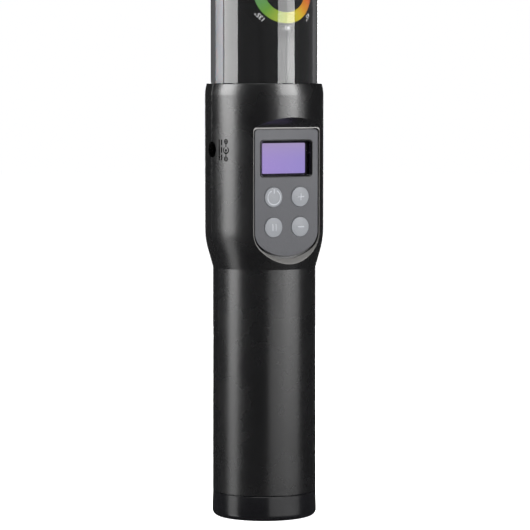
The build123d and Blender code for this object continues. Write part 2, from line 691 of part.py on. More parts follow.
def end_cap():
    """Screw-in base cap with a spigot, a seal groove and a boss for the tripod bush."""
    shoulder_z = SPIGOT_THREAD_Z[0]
    outline = [
        Line((0, 0), (CAP_R - CAP_FOOT_R, 0)),
        TangentArc((CAP_R - CAP_FOOT_R, 0), (CAP_R, CAP_FOOT_R), tangent=(1, 0)),
        Line((CAP_R, CAP_FOOT_R), (CAP_TOP_R, CAP_TOP_Z - EDGE_BEVEL)),
        Line((CAP_TOP_R, CAP_TOP_Z - EDGE_BEVEL), (CAP_TOP_R - EDGE_BEVEL, CAP_TOP_Z)),
        Line((CAP_TOP_R - EDGE_BEVEL, CAP_TOP_Z), (SPIGOT_R, CAP_TOP_Z)),
        Line((SPIGOT_R, CAP_TOP_Z), (SPIGOT_R, shoulder_z)),
        Line((SPIGOT_R, shoulder_z), (SPIGOT_ROOT_R, shoulder_z)),
        Line((SPIGOT_ROOT_R, shoulder_z), (SPIGOT_ROOT_R, SPIGOT_TOP_Z - SPIGOT_BEVEL)),
        Line((SPIGOT_ROOT_R, SPIGOT_TOP_Z - SPIGOT_BEVEL), (SPIGOT_ROOT_R - SPIGOT_BEVEL, SPIGOT_TOP_Z)),
        Line((SPIGOT_ROOT_R - SPIGOT_BEVEL, SPIGOT_TOP_Z), (0, SPIGOT_TOP_Z)),
        Line((0, SPIGOT_TOP_Z), (0, 0)),
    ]
    cap = turned(outline)
    cap -= ring(SPIGOT_BORE_R, BUSH_BOSS_R, CAP_FLOOR, SPIGOT_TOP_Z + 1)
    cap -= disc(BUSH_BOSS_R, BUSH_BOSS_TOP_Z, SPIGOT_TOP_Z + 1)
    groove_low = SEAL_GROOVE_Z - SEAL_GROOVE_H / 2
    cap -= ring(SPIGOT_R + 1, SEAL_GROOVE_R, groove_low, groove_low + SEAL_GROOVE_H)
    cap -= disc(BUSH_R, -1, BUSH_BOSS_TOP_Z + 1)
    cap -= disc(BUSH_FLANGE_R, BUSH_BOSS_TOP_Z - BUSH_FLANGE_T, BUSH_BOSS_TOP_Z + 1)
    return cap


def spigot_thread():
    """Crest of the screw thread on the spigot, as a plain ring."""
    return ring(SPIGOT_R, SPIGOT_ROOT_R, *SPIGOT_THREAD_Z)


def end_cap_seal():
    """Rubber ring in the spigot groove."""
    return Pos(0, 0, SEAL_GROOVE_Z) * Torus(SEAL_RING_R, SEAL_SECTION_R)


def tripod_bush():
    """Threaded brass bush in the middle of the base, closed at the top."""
    bush = disc(BUSH_R, BUSH_FOOT_Z, BUSH_BOSS_TOP_Z)
    bush += disc(BUSH_FLANGE_R, BUSH_BOSS_TOP_Z - BUSH_FLANGE_T, BUSH_BOSS_TOP_Z)
    bush -= disc(TRIPOD_THREAD_R, -1, BUSH_LENGTH)
    return bush


def cap_thread_ring():
    """Ring fixed inside the grip that the cap spigot turns in."""
    return ring(THREAD_RING_R[1], THREAD_RING_R[0], *THREAD_RING_Z)


# ---------------------------------------------------------------- battery pack


def cell_centres():
    """Axes of the three cells in their triangle."""
    centres = []
    for step in range(3):
        angle = radians(90 + 120 * step)
        centres.append((CELL_PITCH_R * cos(angle), CELL_PITCH_R * sin(angle)))
    return centres


def battery_cells():
    """Three cylindrical cells with a raised positive button, alternate ones upside down."""
    cells = []
    for index, (x, y) in enumerate(cell_centres()):
        can = disc(CELL_R, 0, CELL_CAN_H)
        can = fillet(can.edges().sort_by(Axis.Z)[-1], CELL_EDGE_R)
        cell = can + disc(CELL_BUTTON_R, CELL_CAN_H, CELL_H)
        if index == 1:
            cell = Pos(0, 0, CELL_H) * Rot(180, 0, 0) * cell
        cells.append(Pos(x, y, CELL_Z) * cell)
    return Compound(cells)


def bundle_outline(radius):
    """Rounded triangle round the three cells."""
    edges = []
    for step in range(3):
        angle = 90 + 120 * step
        x = CELL_PITCH_R * cos(radians(angle))
        y = CELL_PITCH_R * sin(radians(angle))
        edges.append(CenterArc((x, y), radius, angle - 60, 120))
        leave = radians(angle + 60)
        turn = radians(angle + 120)
        start = (x + radius * cos(leave), y + radius * sin(leave))
        next_x = CELL_PITCH_R * cos(turn)
        next_y = CELL_PITCH_R * sin(turn)
        edges.append(Line(start, (next_x + radius * cos(leave), next_y + radius * sin(leave))))
    return make_face(edges)


def battery_wrap():
    """Heat-shrink sleeve round the cells."""
    outer = bundle_outline(CELL_R + WRAP_GAP + WRAP_T)
    inner = bundle_outline(CELL_R + WRAP_GAP)
    return Pos(0, 0, CELL_Z + WRAP_INSET) * extrude(outer - inner, CELL_H - 2 * WRAP_INSET)


def nickel_strips():
    """Flat straps welded across neighbouring cells, two below and one above."""
    centres = cell_centres()
    straps = []
    above = CELL_Z + CELL_H + STRIP_GAP
    below = CELL_Z - STRIP_T - STRIP_GAP
    for first, second, level in ((0, 1, above), (1, 2, below)):
        (ax, ay), (bx, by) = centres[first], centres[second]
        angle = degrees(atan2(by - ay, bx - ax))
        length = sqrt((bx - ax) ** 2 + (by - ay) ** 2) + STRIP_W
        place = Pos((ax + bx) / 2, (ay + by) / 2, level + STRIP_T / 2) * Rot(0, 0, angle)
        straps.append(place * Box(length, STRIP_W, STRIP_T))
    return Compound(straps)


def pack_foam():
    """Foam disc under the pack."""
    return disc(FOAM_R, *FOAM_Z)


def pack_paper():
    """Insulating card on top of the pack, with a hole for the leads."""
    card = disc(PAPER_R, *PAPER_Z)
    hole = Pos(*LEAD_HOLE_XY, 0) * disc(PAPER_HOLE_R, PAPER_Z[0] - 1, PAPER_Z[1] + 1)
    return card - hole


def protection_board():
    """Round charge-protection board above the card."""
    return disc(PROTECTION_R, *PROTECTION_Z)


def protection_components():
    """Small parts on the protection board."""
    top = PROTECTION_Z[1]
    return Compound([block(x, y, (top, top + height)) for x, y, height in PROTECTION_PARTS])


def battery_bulkhead():
    """Plastic disc that closes the battery bore, with a lead hole."""
    plate = disc(BULKHEAD_R, *BULKHEAD_Z)
    hole = Pos(*LEAD_HOLE_XY, 0) * disc(LEAD_HOLE_R, BULKHEAD_Z[0] - 1, BULKHEAD_Z[1] + 1)
    return plate - hole


# ---------------------------------------------------------------- light tube


def light_tube():
    """Clear round tube."""
    tube = ring(TUBE_R, TUBE_R - TUBE_WALL, *TUBE_Z)
    rim = tube.edges().filter_by(GeomType.CIRCLE).group_by(Axis.Z)
    return chamfer(rim[0] + rim[-1], TUBE_BEVEL)


def socket_gasket():
    """Flat rubber ring under the tube end."""
    return ring(GASKET_R[1], GASKET_R[0], SHOULDER_Z[1], TUBE_Z[0])


def tube_plug():
    """Lower plug inside the tube, with a hole for the light leads."""
    plug = disc(PLUG_R, *PLUG_Z)
    plug -= Pos(0, PLUG_HOLE[0], 0) * disc(PLUG_HOLE[1], PLUG_Z[0] - 1, PLUG_Z[1] + 1)
    return plug - ring(PLUG_R + 1, PLUG_R - PLUG_GROOVE_DEPTH, *PLUG_GROOVE_Z)


def plug_seal():
    """Rubber ring round the lower plug."""
    return Pos(0, 0, PLUG_SEAL_Z) * Torus(PLUG_SEAL_RING_R, PLUG_SEAL_SECTION_R)


def arc_band(outer_r, inner_r, middle_angle, half_angle, z_pair):
    """Part of a round wall, centred on an angle about Z."""
    start = middle_angle - half_angle
    sweep_angle = 2 * half_angle
    a = radians(start)
    b = radians(start + sweep_angle)
    edges = [
        CenterArc((0, 0), outer_r, start, sweep_angle),
        Line((outer_r * cos(b), outer_r * sin(b)), (inner_r * cos(b), inner_r * sin(b))),
        CenterArc((0, 0), inner_r, start + sweep_angle, -sweep_angle),
        Line((inner_r * cos(a), inner_r * sin(a)), (outer_r * cos(a), outer_r * sin(a))),
    ]
    return Pos(0, 0, z_pair[0]) * extrude(make_face(edges), z_pair[1] - z_pair[0])


def back_channel():
    """Black extruded carrier: a round back, a flat web for the board and two screw bosses."""
    channel = arc_band(CORE_R, CORE_R - CORE_WALL, -90, CORE_HALF_ANGLE, CORE_Z)
    reach = sqrt((CORE_R - WEB_INSET) ** 2 - WEB_Y[0] ** 2)
    channel += block((-reach, reach), WEB_Y, CORE_Z)
    boss_x, boss_y = CORE_BOSS_XY
    for side in (-1, 1):
        post = Pos(side * boss_x, boss_y, CORE_Z[0])
        height = CORE_Z[1] - CORE_Z[0]
        at_base = (Align.CENTER, Align.CENTER, Align.MIN)
        channel += post * Cylinder(CORE_BOSS_R, height, align=at_base)
        channel -= post * Cylinder(CORE_BOSS_BORE_R, height, align=at_base)
    for x, z in led_screw_points():
        channel -= rod_y(x, z, SCREW_BORE_R, (WEB_Y[0] - 1, WEB_Y[1] + 1))
    return Rot(0, 0, CORE_TURN) * channel


def diffuser():
    """Milky round cover over the light side, closing the round with the channel."""
    half = 180 - CORE_HALF_ANGLE - DIFFUSER_GAP_ANGLE
    return Rot(0, 0, CORE_TURN) * arc_band(CORE_R, CORE_R - DIFFUSER_WALL, 90, half, CORE_Z)


def colour_wheel_label():
    """Thin round label with an open middle, wrapped on the back of the channel."""
    film_r = CORE_R + LABEL_GAP
    z_pair = (LABEL_Z - CORE_R, LABEL_Z + CORE_R)
    film = arc_band(film_r + LABEL_T, film_r, -90, CORE_HALF_ANGLE, z_pair)
    y_pair = (-film_r - 1, 0)
    shape = rod_y(0, LABEL_Z, LABEL_RADII[1], y_pair) - rod_y(0, LABEL_Z, LABEL_RADII[0], y_pair)
    return Rot(0, 0, CORE_TURN) * (film & shape)


def led_screw_points():
    """Fixing points of the light board."""
    return [(0.0, z) for z in LED_SCREW_ROWS]


def led_board():
    """Long light board on the web of the channel."""
    half = LED_BOARD_HALF_W
    board = block((-half, half), (WEB_Y[1], WEB_Y[1] + LED_BOARD_T), LED_BOARD_Z)
    for x, z in led_screw_points():
        board -= rod_y(x, z, LED_BOARD_HOLE_R, (WEB_Y[1] - 1, WEB_Y[1] + LED_BOARD_T + 1))
    return Rot(0, 0, CORE_TURN) * board


def led_chips():
    """Two columns of square light chips."""
    face_y = WEB_Y[1] + LED_BOARD_T
    chips = []
    for x in LED_COLUMNS:
        for row in range(LED_ROWS):
            z = LED_FIRST_Z + row * LED_PITCH
            top_y = face_y + LED_T
            chip = slab_y(x, z, LED_SIDE, LED_SIDE, LED_CORNER, (face_y, top_y))
            chips.append(chip - rod_y(x, z, LED_LENS[0], (top_y - LED_LENS[1], top_y + 1)))
    return Rot(0, 0, CORE_TURN) * Compound(chips)


def led_board_screws():
    """Pan-head screws that hold the light board."""
    face_y = WEB_Y[1] + LED_BOARD_T
    screws = []
    for x, z in led_screw_points():
        top_y = face_y + LED_HEAD[1]
        head = rod_y(x, z, LED_HEAD[0], (face_y, top_y))
        head -= slab_y(x, z, *LED_SLOT, (top_y - SLOT_DEPTH, top_y + 1))
        screws.append(head + rod_y(x, z, LED_SHANK_R, (WEB_Y[0] - TIP_REACH, face_y)))
    return Rot(0, 0, CORE_TURN) * Compound(screws)


def top_cap():
    """Upper end cap: a short skirt over the tube and a plug inside it."""
    ceiling = TOTAL_H - TOP_ROOF_T
    edge_z = TOTAL_H - TOP_CAP_EDGE_R
    edge_r = TOP_CAP_R - TOP_CAP_EDGE_R
    outline = [
        Line((TOP_CAP_BORE_R, TOP_CAP_Z), (TOP_CAP_R - SKIRT_BEVEL, TOP_CAP_Z)),
        Line((TOP_CAP_R - SKIRT_BEVEL, TOP_CAP_Z), (TOP_CAP_R, TOP_CAP_Z + SKIRT_BEVEL)),
        Line((TOP_CAP_R, TOP_CAP_Z + SKIRT_BEVEL), (TOP_CAP_R, edge_z)),
        TangentArc((TOP_CAP_R, edge_z), (edge_r, TOTAL_H), tangent=(0, 1)),
        Line((edge_r, TOTAL_H), (0, TOTAL_H)),
        Line((0, TOTAL_H), (0, ceiling)),
        Line((0, ceiling), (TOP_PLUG_HOLLOW_R, ceiling)),
        Line((TOP_PLUG_HOLLOW_R, ceiling), (TOP_PLUG_HOLLOW_R, TOP_PLUG_Z)),
        Line((TOP_PLUG_HOLLOW_R, TOP_PLUG_Z), (TOP_PLUG_R, TOP_PLUG_Z)),
        Line((TOP_PLUG_R, TOP_PLUG_Z), (TOP_PLUG_R, TOP_ROOF_Z)),
        Line((TOP_PLUG_R, TOP_ROOF_Z), (TOP_CAP_BORE_R, TOP_ROOF_Z)),
        Line((TOP_CAP_BORE_R, TOP_ROOF_Z), (TOP_CAP_BORE_R, TOP_CAP_Z)),
    ]
    cap = turned(outline)
    cap -= ring(TOP_PLUG_R + TIP_REACH, TOP_GROOVE_R, *TOP_GROOVE_Z)
    for place in top_screw_places():
        cap += place * disc(TOP_PILLAR_R, TOP_PILLAR_Z, TOP_ROOF_Z)
        cap -= place * disc(TOP_SCREW_HOLE_R, TOP_PILLAR_Z - 1, TOTAL_H + 1)
        cap -= place * disc(TOP_COUNTERBORE_R, TOP_HEAD_Z[0], TOTAL_H + 1)
    return cap


def top_screw_places():
    """Axes of the two long screws, in line with the bosses of the channel."""
    boss_x, boss_y = CORE_BOSS_XY
    return [Rot(0, 0, CORE_TURN) * Pos(side * boss_x, boss_y, 0) for side in (-1, 1)]


def top_cap_seal():
    """Rubber ring round the plug of the upper cap."""
    return Pos(0, 0, TOP_SEAL_Z) * Torus(TOP_SEAL_RING_R, TOP_SEAL_SECTION_R)


def top_cap_screws():
    """Two long screws through the upper cap into the channel."""
    width, slot, depth = CROSS_SLOT
    head = disc(TOP_HEAD_R, *TOP_HEAD_Z)
    head -= Pos(0, 0, TOP_HEAD_Z[1]) * (Box(width, slot, depth) + Box(slot, width, depth))
    screw = head + disc(TOP_SHANK_R, TOP_SHANK_Z, TOP_HEAD_Z[0])
    return Compound([place * screw for place in top_screw_places()])


# ---------------------------------------------------------------- leads


def stepped_lead(x, y_pair, z_pair, radius, bend_z):
    """A lead that rises, steps sideways in Y through two equal bends, and rises again."""
    from_y, to_y = y_pair
    low, high = z_pair
    bend_r = abs(to_y - from_y) / (2 - sqrt(2.0))
    rise = bend_r * sqrt(2.0)
    way = 1 if to_y > from_y else -1
    bulge = way * bend_r * (1 - cos(HALF_BEND))
    climb = bend_r * sin(HALF_BEND)
    low_bend = Vector(x, from_y, bend_z)
    first_mid = Vector(x, from_y + bulge, bend_z + climb)
    middle = Vector(x, (from_y + to_y) / 2, bend_z + rise / 2)
    second_mid = Vector(x, to_y - bulge, bend_z + rise - climb)
    high_bend = Vector(x, to_y, bend_z + rise)
    path = Wire([
        Edge.make_line(Vector(x, from_y, low), low_bend),
        Edge.make_three_point_arc(low_bend, first_mid, middle),
        Edge.make_three_point_arc(middle, second_mid, high_bend),
        Edge.make_line(high_bend, Vector(x, to_y, high)),
    ])
    section = Plane(origin=(x, from_y, low), z_dir=(0, 0, 1)) * Circle(radius)
    return sweep(section, path)


def battery_leads():
    """Two leads from the protection board up to the board connector."""
    z_pair = (PROTECTION_Z[1], BATTERY_LEAD_TOP_Z)
    leads = []
    for x in BATTERY_LEAD_X:
        leads.append(stepped_lead(x, BATTERY_LEAD_Y, z_pair, BATTERY_LEAD_R, BATTERY_BEND_Z))
    return Compound(leads)


def led_leads():
    """Four thin leads from the upper board connector to the light board."""
    leads = []
    for x in LED_LEAD_X:
        leads.append(stepped_lead(x, LED_LEAD_Y, LED_LEAD_Z, LED_LEAD_R, LED_BEND_Z))
    return Compound(leads)


def elbow_lead(z, corner_x):
    """A lead from the back of the inlet that turns towards the board."""
    start = Vector(JACK_X[1], INLET_LEAD_Y, z)
    bend_x = corner_x - INLET_BEND_R
    bend_y = INLET_LEAD_Y - INLET_BEND_R
    bend_start = Vector(bend_x, INLET_LEAD_Y, z)
    reach = INLET_BEND_R * sqrt(0.5)
    bend_mid = Vector(bend_x + reach, bend_y + reach, z)
    bend_end = Vector(corner_x, bend_y, z)
    path = Wire([
        Edge.make_line(start, bend_start),
        Edge.make_three_point_arc(bend_start, bend_mid, bend_end),
        Edge.make_line(bend_end, Vector(corner_x, BOARD_Y[1], z)),
    ])
    section = Plane(origin=start, z_dir=(1, 0, 0)) * Circle(INLET_LEAD_R)
    return sweep(section, path)


def inlet_leads():
    """Two leads from the inlet to the board."""
    return Compound([elbow_lead(z, corner_x) for z, corner_x in INLET_LEADS])


# ---------------------------------------------------------------- output


def all_parts():
    """Every sub-part by name."""
    names = ("power_button", "plus_button", "pause_button", "minus_button")
    parts = {
        "handle_front_shell": front_shell(),
        "handle_rear_shell": rear_shell(),
        "shell_screws": shell_screws(),
        "control_fascia": control_fascia(),
        "fascia_bezel": fascia_bezel(),
        "screen_frame": screen_frame(),
        "screen_lens": screen_lens(),
        "lcd_panel": lcd_panel(),
        "lcd_holder": lcd_holder(),
        "tact_switches": tact_switches(),
        "control_board": control_board(),
        "board_components": board_components(),
        "board_screws": board_screws(),
        "dc_jack_body": dc_jack_body(),
        "dc_jack_pin": dc_jack_pin(),
        "dc_jack_spring": dc_jack_spring(),
        "end_cap": end_cap(),
        "spigot_thread": spigot_thread(),
        "end_cap_seal": end_cap_seal(),
        "tripod_bush": tripod_bush(),
        "cap_thread_ring": cap_thread_ring(),
        "battery_cells": battery_cells(),
        "battery_wrap": battery_wrap(),
        "nickel_strips": nickel_strips(),
        "pack_foam": pack_foam(),
        "pack_paper": pack_paper(),
        "protection_board": protection_board(),
        "protection_components": protection_components(),
        "battery_bulkhead": battery_bulkhead(),
        "light_tube": light_tube(),
        "socket_gasket": socket_gasket(),
        "tube_plug": tube_plug(),
        "plug_seal": plug_seal(),
        "back_channel": back_channel(),
        "diffuser": diffuser(),
        "colour_wheel_label": colour_wheel_label(),
        "led_board": led_board(),
        "led_chips": led_chips(),
        "led_board_screws": led_board_screws(),
        "top_cap": top_cap(),
        "top_cap_seal": top_cap_seal(),
        "top_cap_screws": top_cap_screws(),
        "battery_leads": battery_leads(),
        "led_leads": led_leads(),
        "inlet_leads": inlet_leads(),
    }
    for name, (x, z) in zip(names, button_centres()):
        parts[name] = button(x, z)
        parts[name.replace("button", "plunger")] = switch_plunger(x, z)
    return parts


os.makedirs("parts", exist_ok=True)
for node, shape in all_parts().items():
    export_step(shape, f"parts/{node}.step")
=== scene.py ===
import json
from math import cos, pi, radians, sin, sqrt

import bmesh
import bpy
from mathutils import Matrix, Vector


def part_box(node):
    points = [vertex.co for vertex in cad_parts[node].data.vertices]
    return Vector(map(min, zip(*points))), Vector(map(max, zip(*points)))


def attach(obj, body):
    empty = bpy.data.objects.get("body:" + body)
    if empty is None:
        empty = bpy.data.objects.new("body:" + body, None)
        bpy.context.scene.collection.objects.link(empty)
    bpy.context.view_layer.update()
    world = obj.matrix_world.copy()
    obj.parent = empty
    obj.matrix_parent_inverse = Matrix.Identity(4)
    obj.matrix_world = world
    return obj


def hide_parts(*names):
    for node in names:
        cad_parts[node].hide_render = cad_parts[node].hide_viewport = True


MM = 0.001
HANDLE = "handle"

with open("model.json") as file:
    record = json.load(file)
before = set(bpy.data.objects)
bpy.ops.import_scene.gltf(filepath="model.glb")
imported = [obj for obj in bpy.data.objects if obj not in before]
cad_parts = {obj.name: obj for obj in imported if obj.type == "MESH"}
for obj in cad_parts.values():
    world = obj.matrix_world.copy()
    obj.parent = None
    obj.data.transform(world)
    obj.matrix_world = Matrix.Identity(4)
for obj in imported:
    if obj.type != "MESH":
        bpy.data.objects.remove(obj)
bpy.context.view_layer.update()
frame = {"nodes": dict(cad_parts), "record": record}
nodes = frame["nodes"]
scene = bpy.context.scene


# ---------------------------------------------------------------- materials


LCD_STEP = 0.1 * MM
LCD_LEFT = (0.350, 0.255, 0.590)
LCD_RIGHT = (0.295, 0.240, 0.570)
LCD_TOP = (0.375, 0.300, 0.470)
LCD_BLACK = (0.012, 0.011, 0.014)
LCD_TOP_SHARPNESS = 3.0
LCD_SPECULAR = 0.15
LCD_ROUGH = (0.26, 0.34)
PRINT_SPECK_MM = 0.35
PRINT_FADE = (0.88, 1.06)
PRINT_ROUGH = (0.42, 0.52)
PRINT_SPECULAR = 0.2
FINE_SHARE = 0.5
HAZE_MM = 6.0
HAZE_STRETCH = (1, 1, 0.05)
HAZE_RANGE = 2.5


def connect(tree, out_node, out_name, in_node, in_name):
    """Links two sockets by name."""
    tree.links.new(out_node.outputs[out_name], in_node.inputs[in_name])


def noise_node(tree, coords, size_mm, detail=3.0, stretch=(1, 1, 1)):
    """A noise whose features are about size_mm across, on object coordinates."""
    mapping = tree.nodes.new("ShaderNodeMapping")
    mapping.inputs["Scale"].default_value = stretch
    connect(tree, coords, "Object", mapping, "Vector")
    noise = tree.nodes.new("ShaderNodeTexNoise")
    noise.inputs["Scale"].default_value = 1.0 / (size_mm * MM)
    noise.inputs["Detail"].default_value = detail
    connect(tree, mapping, "Vector", noise, "Vector")
    return noise


def ranged(tree, source, output, low, high, span=(0.3, 0.7)):
    """The source's value mapped onto low..high."""
    node = tree.nodes.new("ShaderNodeMapRange")
    node.inputs["From Min"].default_value = span[0]
    node.inputs["From Max"].default_value = span[1]
    node.inputs["To Min"].default_value = low
    node.inputs["To Max"].default_value = high
    connect(tree, source, output, node, "Value")
    return node


def new_material(name):
    """A node material with its shader and object coordinates."""
    material = bpy.data.materials.new(name)
    material.use_nodes = True
    tree = material.node_tree
    shader = tree.nodes["Principled BSDF"]
    coords = tree.nodes.new("ShaderNodeTexCoord")
    return material, tree, shader, coords


def surface(name, colour, rough, tint=0.12, cloud_mm=14.0, grain_mm=0.5, grain_depth_mm=0.0,
            rough_span=0.05, stretch=(1, 1, 1), fixed=None):
    """A plastic, metal, rubber or painted surface: mottled colour, uneven gloss and a fine grain."""
    material, tree, shader, coords = new_material(name)
    cloud = noise_node(tree, coords, cloud_mm, stretch=stretch)
    fine = noise_node(tree, coords, grain_mm, detail=2.0, stretch=stretch)
    mix = tree.nodes.new("ShaderNodeMix")
    mix.data_type = "RGBA"
    low = [max(0.0, c * (1 - tint)) for c in colour]
    high = [min(1.0, c * (1 + tint)) for c in colour]
    mix.inputs["A"].default_value = (*low, 1)
    mix.inputs["B"].default_value = (*high, 1)
    blend = tree.nodes.new("ShaderNodeMath")
    blend.operation = "MULTIPLY_ADD"
    blend.inputs[1].default_value = 1.0 - FINE_SHARE
    tree.links.new(ranged(tree, cloud, "Fac", 0.0, 1.0).outputs[0], blend.inputs[0])
    tree.links.new(ranged(tree, fine, "Fac", 0.0, FINE_SHARE).outputs[0], blend.inputs[2])
    tree.links.new(blend.outputs[0], mix.inputs["Factor"])
    tree.links.new(mix.outputs["Result"], shader.inputs["Base Color"])
    gloss = ranged(tree, cloud, "Fac", rough - rough_span, rough + rough_span)
    tree.links.new(gloss.outputs[0], shader.inputs["Roughness"])
    if grain_depth_mm > 0:
        bump = tree.nodes.new("ShaderNodeBump")
        bump.inputs["Distance"].default_value = grain_depth_mm * MM
        bump.inputs["Strength"].default_value = 1.0
        connect(tree, fine, "Fac", bump, "Height")
        connect(tree, bump, "Normal", shader, "Normal")
    for socket, value in (fixed or {}).items():
        shader.inputs[socket].default_value = value
    return material


def clear_material(name, rough, tint, ior):
    """Clear plastic: glass to the eye, and open to lamps so that what is inside is lit."""
    material, tree, shader, coords = new_material(name)
    shader.inputs["Base Color"].default_value = (*tint, 1)
    shader.inputs["Transmission Weight"].default_value = 1.0
    shader.inputs["IOR"].default_value = ior
    haze = noise_node(tree, coords, HAZE_MM, stretch=HAZE_STRETCH)
    gloss = ranged(tree, haze, "Fac", rough, rough * HAZE_RANGE)
    tree.links.new(gloss.outputs[0], shader.inputs["Roughness"])
    path = tree.nodes.new("ShaderNodeLightPath")
    through = tree.nodes.new("ShaderNodeBsdfTransparent")
    mix = tree.nodes.new("ShaderNodeMixShader")
    output = tree.nodes["Material Output"]
    connect(tree, path, "Is Shadow Ray", mix, "Fac")
    tree.links.new(shader.outputs[0], mix.inputs[1])
    tree.links.new(through.outputs[0], mix.inputs[2])
    tree.links.new(mix.outputs[0], output.inputs["Surface"])
    return material


def mixed(tree, factor, low, high):
    """A colour mix. Low and high are colours or nodes."""
    mix = tree.nodes.new("ShaderNodeMix")
    mix.data_type = "RGBA"
    tree.links.new(factor, mix.inputs["Factor"])
    for socket, value in (("A", low), ("B", high)):
        if isinstance(value, tuple):
            mix.inputs[socket].default_value = (*value, 1)
        else:
            tree.links.new(value.outputs["Result"], mix.inputs[socket])
    return mix


def lcd_material(name):
    """Display glass: the raised active area glows lavender, warmer at its top edge, and the rest is black."""
    material, tree, shader, coords = new_material(name)
    low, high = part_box("lcd_panel")
    split = tree.nodes.new("ShaderNodeSeparateXYZ")
    connect(tree, coords, "Object", split, "Vector")
    upward = ranged(tree, split, "Z", 0.0, 1.0, (low.z, high.z))
    across = ranged(tree, split, "X", 0.0, 1.0, (low.x, high.x))
    active = ranged(tree, split, "Y", 1.0, 0.0, (low.y, low.y + LCD_STEP))
    bend = tree.nodes.new("ShaderNodeMath")
    bend.operation = "POWER"
    bend.inputs[1].default_value = LCD_TOP_SHARPNESS
    tree.links.new(upward.outputs[0], bend.inputs[0])
    lower = mixed(tree, across.outputs[0], LCD_LEFT, LCD_RIGHT)
    glow = mixed(tree, bend.outputs[0], lower, LCD_TOP)
    masked = mixed(tree, active.outputs[0], (0.0, 0.0, 0.0), glow)
    tree.links.new(masked.outputs["Result"], shader.inputs["Emission Color"])
    shader.inputs["Emission Strength"].default_value = 1.0
    shader.inputs["Base Color"].default_value = (*LCD_BLACK, 1)
    shader.inputs["Specular IOR Level"].default_value = LCD_SPECULAR
    grain = noise_node(tree, coords, 0.5)
    gloss = ranged(tree, grain, "Fac", *LCD_ROUGH)
    tree.links.new(gloss.outputs[0], shader.inputs["Roughness"])
    return material


def milky_material(name):
    """Translucent white diffuser."""
    return surface(name, (0.26, 0.26, 0.275), 0.38, tint=0.02, cloud_mm=30.0, grain_mm=0.8,
                   grain_depth_mm=0.003, fixed={"Subsurface Weight": 0.3, "Subsurface Scale": 0.002})


def printed_material(name):
    """Ink whose colour comes from the mesh's own colour attribute."""
    material, tree, shader, coords = new_material(name)
    ink = tree.nodes.new("ShaderNodeVertexColor")
    ink.layer_name = "ink"
    speck = noise_node(tree, coords, PRINT_SPECK_MM)
    fade = ranged(tree, speck, "Fac", *PRINT_FADE)
    scale = tree.nodes.new("ShaderNodeVectorMath")
    scale.operation = "SCALE"
    connect(tree, ink, "Color", scale, "Vector")
    tree.links.new(fade.outputs[0], scale.inputs["Scale"])
    connect(tree, scale, "Vector", shader, "Base Color")
    gloss = ranged(tree, speck, "Fac", *PRINT_ROUGH)
    tree.links.new(gloss.outputs[0], shader.inputs["Roughness"])
    shader.inputs["Specular IOR Level"].default_value = PRINT_SPECULAR
    return material


